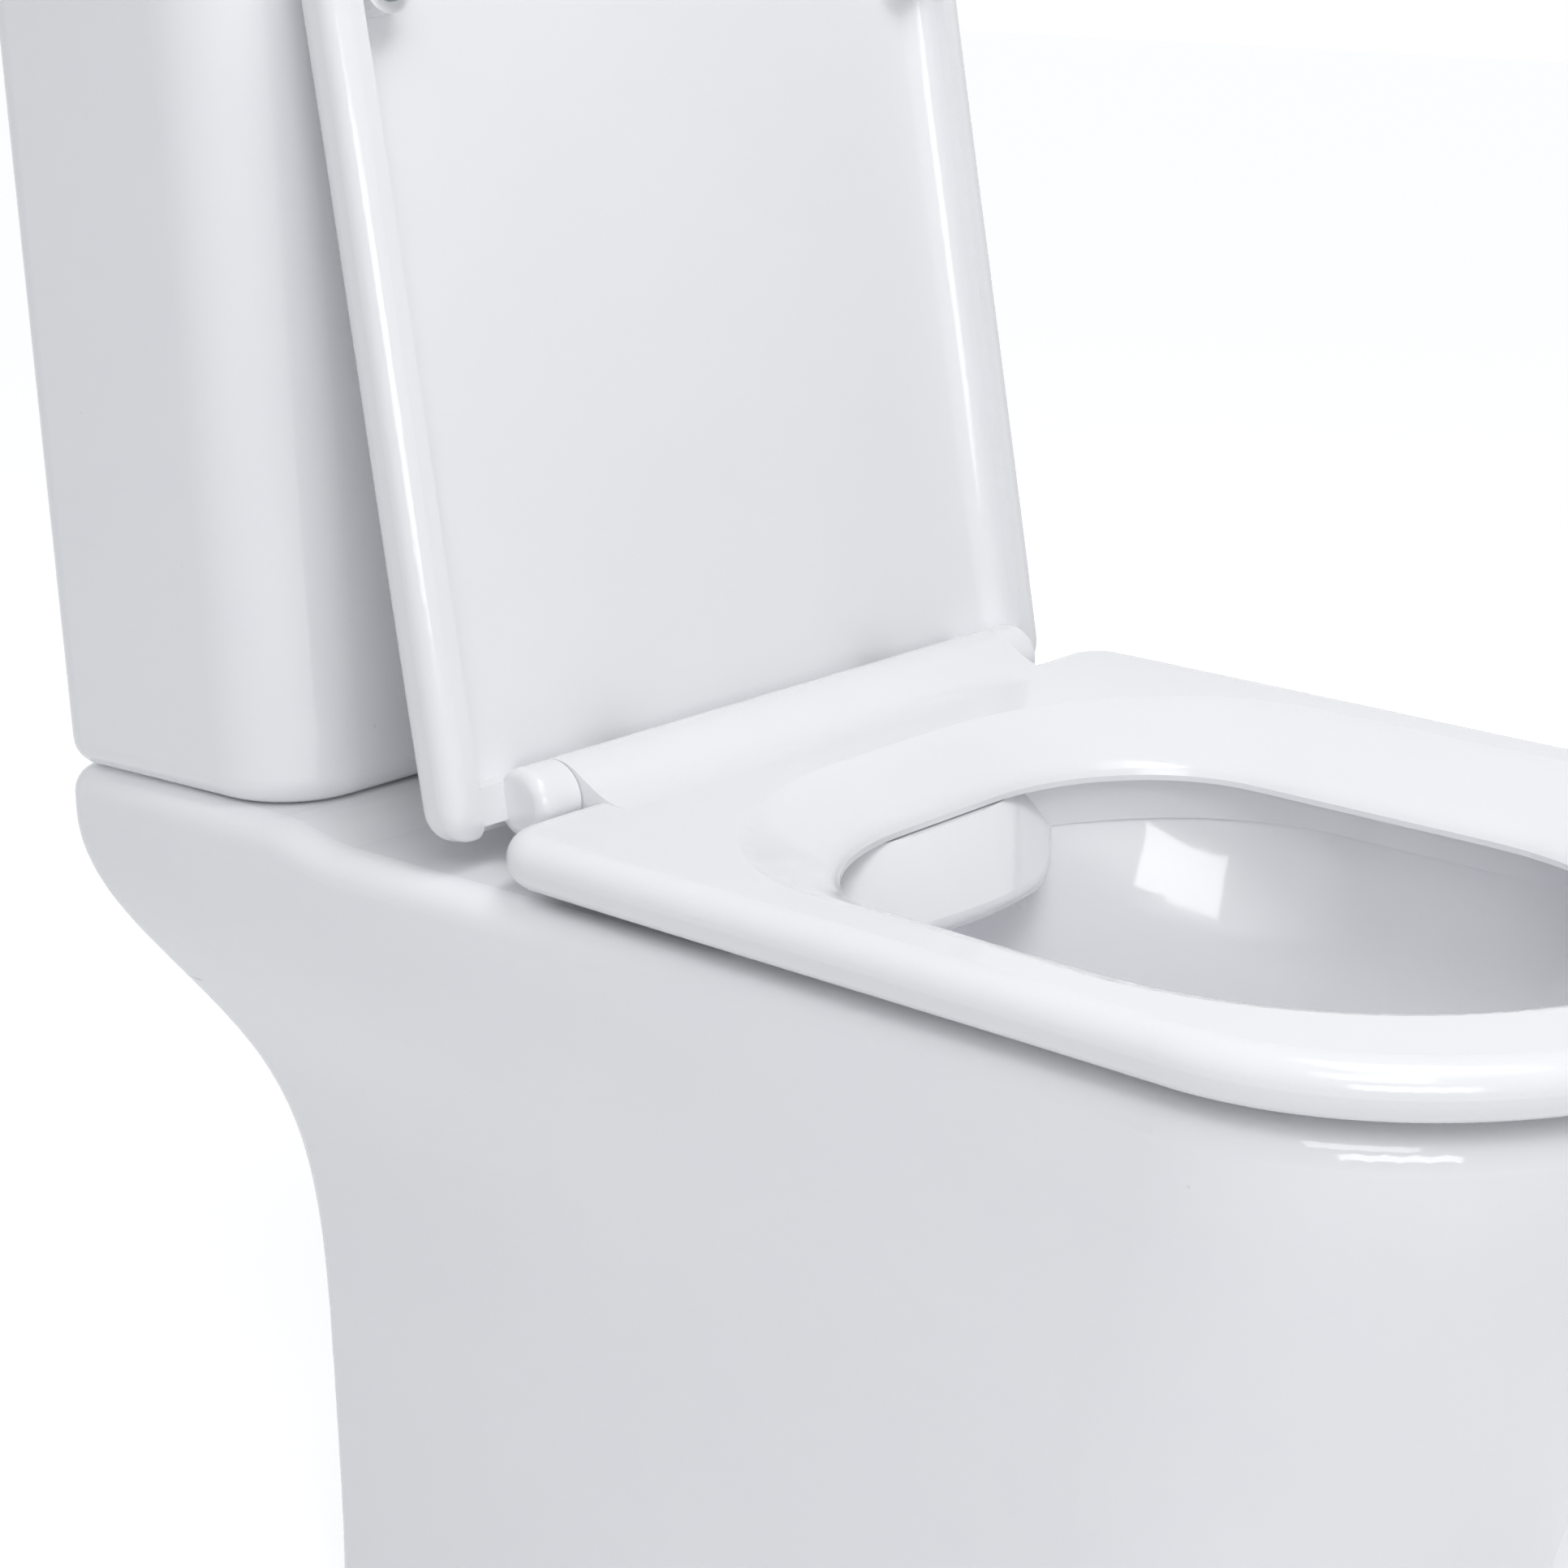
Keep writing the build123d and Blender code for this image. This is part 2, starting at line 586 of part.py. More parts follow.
def flush_valve_body():
    """Seat flange, tail pipe, windowed cage and head with two rod cups."""
    low = FLOOR_Z
    body = tube(FLANGE_R, TAIL_BORE, FLANGE_T, 0, VALVE_Y, low)
    body = body + tube(TAIL_R, TAIL_BORE, TAIL_LEN, 0, VALVE_Y, low - TAIL_LEN)
    body = body + tube(CAGE_R, CAGE_R - CAGE_WALL, CAGE_H, 0, VALVE_Y, low + FLANGE_T)
    for turn in (0, 90, 180, 270):
        window = Pos(CAGE_R, 0, low + FLANGE_T + 8 + CAGE_WINDOW_H / 2) * Box(30, CAGE_WINDOW_W, CAGE_WINDOW_H)
        body = body - Pos(0, VALVE_Y, 0) * (Rot(0, 0, turn) * window)
    roof_z = low + FLANGE_T + CAGE_H - CAGE_WALL
    body = body + tube(CAGE_R - 1, OVERFLOW_R + 1.0, CAGE_WALL, 0, VALVE_Y, roof_z)
    post = block(-4, 4, VALVE_Y + 22, VALVE_Y + 28, roof_z, HEAD_Z + 4)
    body = body + post + post.rotate(Axis((0, VALVE_Y, 0), (0, 0, 1)), 180)
    head = tube(HEAD_R, HEAD_R - 2.5, HEAD_H, 0, VALVE_Y, HEAD_Z)
    floor = tube(HEAD_R - 1, OVERFLOW_R + 2.0, 3, 0, VALVE_Y, HEAD_Z)
    return body + head + floor


def overflow_tube():
    """Overflow tube with the collar that carries the seal."""
    low = FLOOR_Z + FLANGE_T + SEAL_T
    body = tube(OVERFLOW_R, OVERFLOW_BORE, OVERFLOW_TOP - low, 0, VALVE_Y, low)
    plate = tube(SEAL_R, OVERFLOW_BORE, 3, 0, VALVE_Y, low)
    return body + plate + tube(OVERFLOW_R + 5, OVERFLOW_BORE, 10, 0, VALVE_Y, low + 3)


def flush_seal():
    return tube(SEAL_R - 1, OVERFLOW_BORE, SEAL_T, 0, VALVE_Y, FLOOR_Z + FLANGE_T)


def coupling_nut():
    """Large plastic nut that clamps the flush valve to the cistern."""
    body = Pos(0, VALVE_Y, SHELF_Z - 7) * extrude(RegularPolygon(40.0, 8), amount=7)
    return body - disc(TAIL_R, 30, 0, VALVE_Y, SHELF_Z - 20)


def coupling_gasket():
    """Thick foam ring between the nut and the pocket of the pan."""
    low = SHELF_Z - POCKET_D + 4
    ring = tube(POCKET_R - 0.5, TAIL_R + 1, SHELF_Z - 7.3 - low, 0, VALVE_Y, low)
    return ring


# ---------------------------------------------------------------- fill valve
def fill_valve_body():
    """Stem, shank and cap of the fill valve."""
    body = disc(STEM_R, FILL_TOP - FLOOR_Z, FILL_X, VALVE_Y, FLOOR_Z)
    body = body + disc(17.0, 6, FILL_X, VALVE_Y, FLOOR_Z)
    body = body + disc(SHANK_R, SHANK_LEN, FILL_X, VALVE_Y, FLOOR_Z - SHANK_LEN)
    body = body + disc(SHANK_NUT_R, FLOOR_Z - SHELF_Z + FILL_NUT_T, FILL_X, VALVE_Y, SHELF_Z - FILL_NUT_T)
    cap = disc(CAP_R, CAP_H, FILL_X, VALVE_Y, FILL_TOP - CAP_H)
    cap = fillet(cap.edges().group_by(Axis.Z)[-1], 3)
    stay = block(FILL_X - 5, FILL_X + 5, VALVE_Y - CAP_R - 14, VALVE_Y - CAP_R + 4, FILL_TOP - 9, FILL_TOP - 3)
    stay = stay - disc(FLOAT_ROD_R + 0.4, 20, FILL_X, VALVE_Y - CAP_R - 8, FILL_TOP - 16)
    return body + cap + stay


def float_cup():
    """Float that slides on the stem."""
    ring = tube(FLOAT_R, STEM_R + 1.0, FLOAT_H, FILL_X, VALVE_Y, FLOAT_Z)
    room = tube(FLOAT_R - 2, STEM_R + 3.0, FLOAT_H - 3, FILL_X, VALVE_Y, FLOAT_Z - 1)
    rod_y = VALVE_Y - CAP_R - 8
    link = block(FILL_X - 3, FILL_X + 3, rod_y - 3, VALVE_Y - FLOAT_R + 3, FLOAT_Z + FLOAT_H - 6,
                 FLOAT_Z + FLOAT_H - 2)
    rod = disc(FLOAT_ROD_R, FILL_TOP + 5 - (FLOAT_Z + FLOAT_H - 6), FILL_X, rod_y, FLOAT_Z + FLOAT_H - 6)
    return ring - room + link + rod


def fill_nut():
    body = Pos(FILL_X, VALVE_Y, SHELF_Z - FILL_NUT_T) * extrude(RegularPolygon(16.0, 6), amount=FILL_NUT_T)
    return body - disc(SHANK_NUT_R, 30, FILL_X, VALVE_Y, SHELF_Z - 20)


# ---------------------------------------------------------------- seat
def seat_outline(z, inset):
    return d_face(z, SEAT_REAR - inset, -SEAT_REACH + inset, SEAT_HALF_REAR - inset,
                  SEAT_HALF - inset, SEAT_NOSE - inset, SEAT_CORNER - inset)


def opening(z, rear, side, front):
    """Seat opening, widened by different amounts at rear, side and front."""
    return blunt_face(z, OPEN_REAR + rear, OPEN_FRONT - front, OPEN_HALF + side, OPEN_FLAT,
                      OPEN_REAR_NOSE + rear, OPEN_FRONT_NOSE + front)


def dish(drop):
    """Cutters for the rounded, sloping inner band, lowered by drop."""
    faces = []
    rise = SEAT_TOP + 0.05 - LIP_Z - LIP_T
    for out, up in DISH_CURVE:
        z = LIP_Z + LIP_T - drop + up * rise
        faces.append(opening(z, out * DISH_REAR, out * DISH_SIDE, out * DISH_FRONT))
    above = extrude(faces[-1], amount=20, dir=(0, 0, 1))
    below = extrude(faces[0], amount=-30, dir=(0, 0, 1))
    return loft(faces), above, below


def seat_ring():
    """Dished seat ring with a hollow underside and its hinge barrel."""
    low = SEAT_TOP - SEAT_T
    slab = extrude(seat_outline(low, 0), amount=SEAT_T, dir=(0, 0, 1))
    edge = [e for e in slab.edges() if abs(e.center().Z - SEAT_TOP) < 0.01 or abs(e.center().Z - low) < 0.01]
    slab = fillet(edge, SEAT_T / 2 - 0.1)
    lip = extrude(opening(LIP_Z, 8, 8, 8), amount=low + 2 - LIP_Z, dir=(0, 0, 1))
    ring = slab + lip
    for cutter in dish(0):
        ring = ring - cutter
    ring = ring + seat_ramp()
    room = extrude(seat_outline(low - 10, EDGE_T), amount=SEAT_T + 8, dir=(0, 0, 1))
    room = room & block(-300, 300, -500, RAMP_Y, 0, 500)
    core = extrude(opening(low - 10, 5, 5, 5), amount=60, dir=(0, 0, 1))
    for cutter in (*dish(SHELL_T), core):
        room = room - cutter
    room = room & block(-300, 300, -500, 300, low - 10, SEAT_TOP - SHELL_T)
    ring = ring - room
    for x, y in SEAT_BUMPERS:
        ring = ring + disc(BUMPER_R, SEAT_TOP - SHELL_T + 0.5 - low, x, y, low)
        ring = ring - disc(BUMPER_STEM_R + 0.1, BUMPER_STEM + 0.5, x, y, low)
    return barrel_cuts(ring)


def seat_ramp():
    """Barrel round the hinge axis, faired into the top of the seat."""
    r = BARREL_R
    k = r * math.sqrt(0.5)
    profile = make_face([
        Line((RAMP_Y, SEAT_TOP - SEAT_T), (-4, SEAT_TOP - SEAT_T + 6)),
        Line((-4, SEAT_TOP - SEAT_T + 6), (0, AXIS_Z - r)),
        ThreePointArc((0, AXIS_Z - r), (r, AXIS_Z), (0, AXIS_Z + r)),
        Spline((0, AXIS_Z + r), (-k - 7, SEAT_TOP + 5.5), (RAMP_Y, SEAT_TOP), tangents=((-1, 0), (-1, 0))),
        Line((RAMP_Y, SEAT_TOP), (RAMP_Y, SEAT_TOP - SEAT_T)),
    ])
    return extrude(Plane.YZ * profile, amount=BARREL_HALF, both=True)


def post_room():
    """Clearance for one hinge post while the seat swings."""
    eye = rod_x(POST_R + 0.5, SEAT_BOLT_X - POST_W / 2 - 0.5, SEAT_BOLT_X + POST_W / 2 + 0.5, 0, AXIS_Z)
    reach = BARREL_R + 14
    steps = [(-POST_NECK / 2 - 1.0, -reach)]
    for k in range(7):
        a = math.radians(270 + k * 20)
        steps.append((reach * math.cos(a) * 1.1, reach * math.sin(a) * 1.1))
    steps.append((0, POST_R + 0.5))
    steps.append((-POST_NECK / 2 - 1.0, 0))
    fan = make_face(Polyline(*[(y, z + AXIS_Z) for y, z in steps], close=True))
    fan = extrude(Plane.YZ.offset(SEAT_BOLT_X) * fan, amount=POST_W / 2 + 0.5, both=True)
    return eye + fan


def barrel_cuts(ring):
    """Pin bores and post clearances of the seat barrel."""
    room = post_room()
    bore = rod_x(PIN_R + FIT, PIN_IN - 1, BARREL_HALF + 1, 0, AXIS_Z)
    for cutter in (room, bore):
        ring = ring - cutter - cutter.mirror(Plane.YZ)
    return ring


def seat_bumpers():
    """Four pads under the seat ring."""
    low = SEAT_TOP - SEAT_T
    pads = []
    for x, y in SEAT_BUMPERS:
        pad = disc(BUMPER_R - 1, low - RIM_Z - SEAT_GAP, x, y, RIM_Z + SEAT_GAP)
        pads.append(pad + disc(BUMPER_STEM_R, BUMPER_STEM, x, y, low))
    return solids(*pads)


# ---------------------------------------------------------------- lid
def lid_outline(inset):
    """Lid outline in its own plane: hinge side at +y, free end at -y."""
    return d_face(0.0, LID_TAIL - inset, -LID_REACH + inset, LID_HALF_REAR - inset,
                  LID_HALF - inset, LID_NOSE - inset, max(LID_CORNER - inset, 3.0))


def lid_closed():
    """Lid lying flat: outer face up, axis along x through the origin."""
    top = LID_BACK
    slab = extrude(Pos(0, 0, top - LID_RIM_T) * lid_outline(0), amount=LID_RIM_T, dir=(0, 0, 1))
    edge = [e for e in slab.edges() if abs(e.center().Z - top) < 0.01 or abs(e.center().Z - top + LID_RIM_T) < 0.01]
    slab = fillet(edge, 8.0)
    room = extrude(Pos(0, 0, top - LID_RIM_T - 5) * lid_room(), amount=LID_RIM_T - LID_PANEL_T + 5, dir=(0, 0, 1))
    inner = room.edges().group_by(Axis.Z)[-1]
    room = fillet(inner, 10.0)
    lid = slab - room
    neck = block(BARREL_HALF + KNUCKLE_GAP, BARREL_HALF + KNUCKLE_W, 0, LID_TAIL - 4, 0, top - 4)
    knuckle = rod_x(BARREL_R, BARREL_HALF + KNUCKLE_GAP, BARREL_HALF + KNUCKLE_W, 0, 0)
    knuckle = fillet(knuckle.edges().sort_by(Axis.X)[-1], 5.0)
    bridge = block(BARREL_HALF + KNUCKLE_GAP, LID_HALF_REAR - 8, -9, LID_TAIL - 5, top - LID_RIM_T + 2, top - 3)
    arm = knuckle + neck + bridge
    lid = lid + arm + arm.mirror(Plane.YZ)
    bore = rod_x(PIN_R + FIT, BARREL_HALF - 5, PIN_OUT + 0.3, 0, 0)
    lid = lid - bore - bore.mirror(Plane.YZ)
    for s in (-1, 1):
        boss = disc(BOSS_R, LID_RIM_T - LID_PANEL_T - 1, s * LID_BUMPER_X, LID_BUMPER_Y, top - LID_RIM_T + 2)
        lid = lid + boss
        lid = lid - disc(BUMPER_STEM_R + 0.1, BUMPER_STEM + 1, s * LID_BUMPER_X, LID_BUMPER_Y, top - LID_RIM_T + 1)
    return lid


def lid_room():
    """Hollow of the lid inside its lip; open towards the hinge barrel."""
    face = d_face(0.0, LID_TAIL + 20, -LID_REACH + LIP_W, LID_HALF_REAR - LIP_W, LID_HALF - LIP_W,
                  LID_NOSE - LIP_W, 10.0)
    return face


def lid_bumpers_closed():
    """Two pads under the closed lid."""
    low = LID_BACK - LID_RIM_T + 2
    foot = SEAT_TOP - AXIS_Z + SEAT_GAP
    pads = []
    for s in (-1, 1):
        pad = disc(LID_BUMPER_R, low - foot, s * LID_BUMPER_X, LID_BUMPER_Y, foot)
        pads.append(pad + disc(BUMPER_STEM_R, BUMPER_STEM, s * LID_BUMPER_X, LID_BUMPER_Y, low))
    return solids(*pads)


def opened(shape):
    """Turn a piece of the closed lid up to the open rest position."""
    return Pos(0, 0, AXIS_Z) * (Rot(-90 - LEAN, 0, 0) * shape)


# ---------------------------------------------------------------- hinges
def hinge_posts():
    """Eye, neck and base disc of each hinge post."""
    eye = rod_x(POST_R, SEAT_BOLT_X - POST_W / 2, SEAT_BOLT_X + POST_W / 2, 0, AXIS_Z)
    neck = block(SEAT_BOLT_X - POST_W / 2, SEAT_BOLT_X + POST_W / 2, -POST_NECK / 2, POST_NECK / 2,
                 RIM_Z + POST_DISC_T - 1, AXIS_Z)
    foot = disc(POST_DISC_R, POST_DISC_T, SEAT_BOLT_X, 0, RIM_Z)
    foot = chamfer(foot.edges().group_by(Axis.Z)[-1], 1.0)
    post = eye + neck + foot - rod_x(PIN_R, 50, 120, 0, AXIS_Z)
    return both(post - disc(SEAT_BOLT_R, 14, SEAT_BOLT_X, 0, RIM_Z - 1))


def damper_pins():
    """Soft-close cartridges that act as hinge pins."""
    pin = rod_x(PIN_R, PIN_IN, PIN_OUT, 0, AXIS_Z)
    pin = chamfer(pin.edges().group_by(Axis.X)[-1], 0.8)
    return both(pin)


def seat_bolts():
    bolt = disc(SEAT_BOLT_R, SEAT_BOLT_LEN, SEAT_BOLT_X, 0, RIM_Z + 10 - SEAT_BOLT_LEN)
    return both(bolt)


def seat_washers():
    low = RIM_Z - DECK_T - WASHER_T
    return both(tube(WASHER_R, SEAT_BOLT_R + 0.3, WASHER_T, SEAT_BOLT_X, 0, low))


def wing_nut(r, bore, x, y, z):
    """Wing nut that hangs below z."""
    hub = disc(r, NUT_T, x, y, z - NUT_T)
    wings = block(x - r - 7, x + r + 7, y - 1.5, y + 1.5, z - NUT_T, z - 1.5)
    return hub + wings - disc(bore, NUT_T + 4, x, y, z - NUT_T - 2)


def seat_nuts():
    return both(wing_nut(NUT_R, SEAT_BOLT_R, SEAT_BOLT_X, 0, RIM_Z - DECK_T - WASHER_T))


# ---------------------------------------------------------------- cistern bolts
def tank_bolts():
    top = FLOOR_Z + CONE_T
    head = disc(TANK_BOLT_HEAD_R, TANK_BOLT_HEAD_T, TANK_BOLT_X, VALVE_Y, top)
    head = head - block(TANK_BOLT_X - 20, TANK_BOLT_X + 20, VALVE_Y - 1, VALVE_Y + 1, top + 3, top + 9)
    shank = disc(TANK_BOLT_R, TANK_BOLT_LEN, TANK_BOLT_X, VALVE_Y, top - TANK_BOLT_LEN + 1)
    return both(head + shank)


def tank_cones():
    return both(tube(CONE_R, TANK_BOLT_R, CONE_T, TANK_BOLT_X, VALVE_Y, FLOOR_Z))


def tank_washers():
    low = RIM_Z - DECK_T - WASHER_T
    return both(tube(WASHER_R, TANK_BOLT_R + 0.3, WASHER_T, TANK_BOLT_X, VALVE_Y, low))


def tank_nuts():
    return both(wing_nut(NUT_R, TANK_BOLT_R, TANK_BOLT_X, VALVE_Y, RIM_Z - DECK_T - WASHER_T))


# ---------------------------------------------------------------- floor fixing
def floor_brackets():
    """Angle brackets on the floor inside the pedestal walls."""
    x1 = FOOT_HALF - WALL - 0.3
    up = block(x1 - BRACKET_T, x1, FLOOR_SCREW_Y - BRACKET_W / 2, FLOOR_SCREW_Y + BRACKET_W / 2, 0, BRACKET_H)
    foot = block(x1 - BRACKET_FOOT, x1, FLOOR_SCREW_Y - BRACKET_W / 2, FLOOR_SCREW_Y + BRACKET_W / 2, 0, BRACKET_T)
    angle = up + foot
    angle = angle - rod_x(FLOOR_SCREW_R - 0.5, x1 - 20, x1 + 5, FLOOR_SCREW_Y, FLOOR_SCREW_Z)
    angle = angle - disc(FLOOR_BOLT_R, 20, x1 - BRACKET_FOOT / 2 - 2, FLOOR_SCREW_Y, -5)
    return both(angle)


def floor_screws():
    """Screws through the pedestal wall into the brackets."""
    x1 = FOOT_HALF - WALL - 0.3
    shank = rod_x(FLOOR_SCREW_R - 0.5, x1 - 8, FOOT_HALF + 0.5, FLOOR_SCREW_Y, FLOOR_SCREW_Z)
    head = rod_x(7.0, FOOT_HALF + 0.3, FOOT_HALF + 2.3, FLOOR_SCREW_Y, FLOOR_SCREW_Z)
    return both(shank + head)


# ---------------------------------------------------------------- export
save("pan", pan_body())
save("cistern", tank())
save("cistern_lid", tank_lid())
save("button_housing", button_housing())
save("button_full", button(True))
save("button_half", button(False))
save("spring_full", button_spring(ROD_FULL_X))
save("spring_half", button_spring(ROD_HALF_X))
save("flush_valve_body", flush_valve_body())
save("overflow_tube", overflow_tube())
save("flush_seal", flush_seal())
save("coupling_nut", coupling_nut())
save("coupling_gasket", coupling_gasket())
save("fill_valve_body", fill_valve_body())
save("float_cup", float_cup())
save("fill_nut", fill_nut())
save("seat_ring", seat_ring())
save("seat_bumpers", seat_bumpers())
save("seat_lid", opened(lid_closed()))
save("lid_bumpers", opened(lid_bumpers_closed()))
save("hinge_posts", hinge_posts())
save("damper_pins", damper_pins())
save("seat_bolts", seat_bolts())
save("seat_washers", seat_washers())
save("seat_nuts", seat_nuts())
save("tank_bolts", tank_bolts())
save("tank_cones", tank_cones())
save("tank_washers", tank_washers())
save("tank_nuts", tank_nuts())
save("floor_brackets", floor_brackets())
save("floor_screws", floor_screws())

os.makedirs("parts", exist_ok=True)
for name, shape in parts.items():
    export_step(shape, "parts/" + name + ".step")
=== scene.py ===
"""Close coupled toilet: looks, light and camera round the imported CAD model."""
import json
import math

import bpy
import bmesh
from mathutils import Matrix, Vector


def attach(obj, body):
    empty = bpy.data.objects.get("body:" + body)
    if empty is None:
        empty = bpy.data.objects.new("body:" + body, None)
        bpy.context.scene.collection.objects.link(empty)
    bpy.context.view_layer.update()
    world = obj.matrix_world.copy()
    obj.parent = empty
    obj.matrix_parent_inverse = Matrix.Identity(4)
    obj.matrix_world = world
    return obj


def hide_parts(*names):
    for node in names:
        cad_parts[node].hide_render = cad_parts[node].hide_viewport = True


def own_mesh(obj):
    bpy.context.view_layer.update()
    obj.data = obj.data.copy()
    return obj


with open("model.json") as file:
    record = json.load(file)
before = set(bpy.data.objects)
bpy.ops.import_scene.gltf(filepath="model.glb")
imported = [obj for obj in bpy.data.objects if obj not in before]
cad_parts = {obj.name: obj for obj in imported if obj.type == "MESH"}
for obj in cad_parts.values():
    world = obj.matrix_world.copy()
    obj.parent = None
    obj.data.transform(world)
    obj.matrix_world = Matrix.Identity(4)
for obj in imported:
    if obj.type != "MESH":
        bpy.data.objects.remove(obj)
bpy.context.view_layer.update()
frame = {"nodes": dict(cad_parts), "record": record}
scene = bpy.context.scene
nodes = frame["nodes"]

# ---------------------------------------------------------------- camera
CAMERA_AT = (-0.8688, -0.6697, 0.7587)
AZIMUTH = math.radians(-48.111)   # 0 looks along +Y
ELEVATION = math.radians(17.219)  # how far it looks down
LENS = 70.69                # mm, on a 36 mm sensor
SHIFT_Y = 0.0013
look = Vector((-math.sin(AZIMUTH) * math.cos(ELEVATION),
               math.cos(AZIMUTH) * math.cos(ELEVATION),
               -math.sin(ELEVATION)))
cam_data = bpy.data.cameras.new("camera")
cam_data.sensor_width = 36.0
cam_data.lens = LENS
cam_data.shift_y = SHIFT_Y
cam_data.clip_start = 0.05
cam_data.clip_end = 60.0
cam = bpy.data.objects.new("camera", cam_data)
scene.collection.objects.link(cam)
cam.location = CAMERA_AT
cam.rotation_mode = "QUATERNION"
cam.rotation_quaternion = look.to_track_quat("-Z", "Y")
scene.camera = cam

# ---------------------------------------------------------------- material tools


class Mat:
    """A node material with a Principled shader and short ways to add nodes."""

    def __init__(self, name, color, rough, metallic=0.0, ior=1.5):
        self.material = bpy.data.materials.new(name)
        self.material.use_nodes = True
        self.material.diffuse_color = (*color, 1)
        self.tree = self.material.node_tree
        self.shader = self.tree.nodes["Principled BSDF"]
        self.shader.inputs["Base Color"].default_value = (*color, 1)
        self.shader.inputs["Roughness"].default_value = rough
        self.shader.inputs["Metallic"].default_value = metallic
        self.shader.inputs["IOR"].default_value = ior
        self.place = self.node("ShaderNodeTexCoord").outputs["Object"]
        self.bump = None

    def node(self, kind):
        return self.tree.nodes.new(kind)

    def link(self, output, socket):
        self.tree.links.new(output, socket)

    def scaled(self, x, y, z):
        """The place on the object, stretched along its axes."""
        node = self.node("ShaderNodeMapping")
        node.inputs["Scale"].default_value = (x, y, z)
        self.link(self.place, node.inputs["Vector"])
        return node.outputs["Vector"]

    def noise(self, scale, detail=3.0, rough=0.5, distort=0.0, place=None):
        node = self.node("ShaderNodeTexNoise")
        node.inputs["Scale"].default_value = scale
        node.inputs["Detail"].default_value = detail
        node.inputs["Roughness"].default_value = rough
        node.inputs["Distortion"].default_value = distort
        self.link(place or self.place, node.inputs["Vector"])
        return node.outputs["Fac"]

    def cells(self, scale):
        """Distance to the nearest of many scattered points."""
        node = self.node("ShaderNodeTexVoronoi")
        node.inputs["Scale"].default_value = scale
        self.link(self.place, node.inputs["Vector"])
        return node.outputs["Distance"]

    def ramp(self, value, low, high, to_low, to_high):
        """Smooth step of the value from low..high to to_low..to_high."""
        node = self.node("ShaderNodeMapRange")
        node.interpolation_type = "SMOOTHSTEP"
        for key, number in (("From Min", low), ("From Max", high),
                            ("To Min", to_low), ("To Max", to_high)):
            node.inputs[key].default_value = number
        self.link(value, node.inputs["Value"])
        return node.outputs["Result"]

    def math(self, operation, a, b):
        """Operation on an output and on another output or a number."""
        node = self.node("ShaderNodeMath")
        node.operation = operation
        self.link(a, node.inputs[0])
        if isinstance(b, float):
            node.inputs[1].default_value = b
        else:
            self.link(b, node.inputs[1])
        return node.outputs[0]

    def mix(self, share, a, b):
        """From a to b by the share; each is an output or a colour."""
        node = self.node("ShaderNodeMix")
        node.data_type = "RGBA"
        self.link(share, node.inputs["Factor"])
        for key, value in (("A", a), ("B", b)):
            socket = [i for i in node.inputs if i.name == key and i.type == "RGBA"][0]
            if isinstance(value, tuple):
                socket.default_value = (*value, 1)
            else:
                self.link(value, socket)
        return [o for o in node.outputs if o.type == "RGBA"][0]

    def axis(self, name):
        node = self.node("ShaderNodeSeparateXYZ")
        self.link(self.place, node.inputs["Vector"])
        return node.outputs[name]

    def set_color(self, output):
        self.link(output, self.shader.inputs["Base Color"])

    def set_rough(self, output):
        self.link(output, self.shader.inputs["Roughness"])

    def add_bump(self, height, strength, distance):
        """One more bump on top of those before it."""
        node = self.node("ShaderNodeBump")
        node.inputs["Strength"].default_value = strength
        node.inputs["Distance"].default_value = distance
        self.link(height, node.inputs["Height"])
        if self.bump:
            self.link(self.bump, node.inputs["Normal"])
        self.bump = node.outputs["Normal"]
        self.link(self.bump, self.shader.inputs["Normal"])


def tint(color, share):
    """The colour with each channel times share."""
    return tuple(v * share for v in color)


def china(name, color, foot=False):
    """Fired glaze: pools and thins a little, with soft waves and rare pin holes."""
    m = Mat(name, color, 0.06, ior=1.52)
    pool = m.ramp(m.noise(5.0, 3, 0.55, 0.4), 0.3, 0.7, 0.0, 1.0)
    col = m.mix(pool, color, tint(color, 0.985))
    cloud = m.ramp(m.noise(22.0, 4, 0.6), 0.42, 0.72, 0.0, 1.0)
    cool = (color[0] * 0.975, color[1] * 0.975, color[2] * 0.985)
    col = m.mix(m.math("MULTIPLY", cloud, 0.35), col, cool)
    dot = m.ramp(m.cells(26.0), 0.010, 0.022, 1.0, 0.0)
    col = m.mix(m.math("MULTIPLY", dot, 0.35), col, tint(color, 0.72))
    rough = m.ramp(m.noise(34.0, 3, 0.6), 0.3, 0.75, 0.035, 0.085)
    m.add_bump(m.noise(9.0, 1.5, 0.4), 0.20, 0.0025)
    m.add_bump(m.noise(62.0, 2, 0.5), 0.10, 0.0006)
    m.add_bump(m.noise(420.0, 1, 0.5), 0.05, 0.00012)
    if foot:
        bare = m.ramp(m.axis("Z"), 0.0012, 0.0022, 1.0, 0.0)
        grain = m.ramp(m.noise(900.0, 3, 0.7), 0.3, 0.7, 0.86, 1.0)
        body = m.mix(grain, (0.60, 0.56, 0.50), (0.72, 0.69, 0.63))
        col = m.mix(bare, col, body)
        rough = m.math("MAXIMUM", rough, m.math("MULTIPLY", bare, 0.85))
    m.set_color(col)
    m.set_rough(rough)
    m.shader.inputs["Coat Weight"].default_value = 0.25
    m.shader.inputs["Coat Roughness"].default_value = 0.03
    return m.material


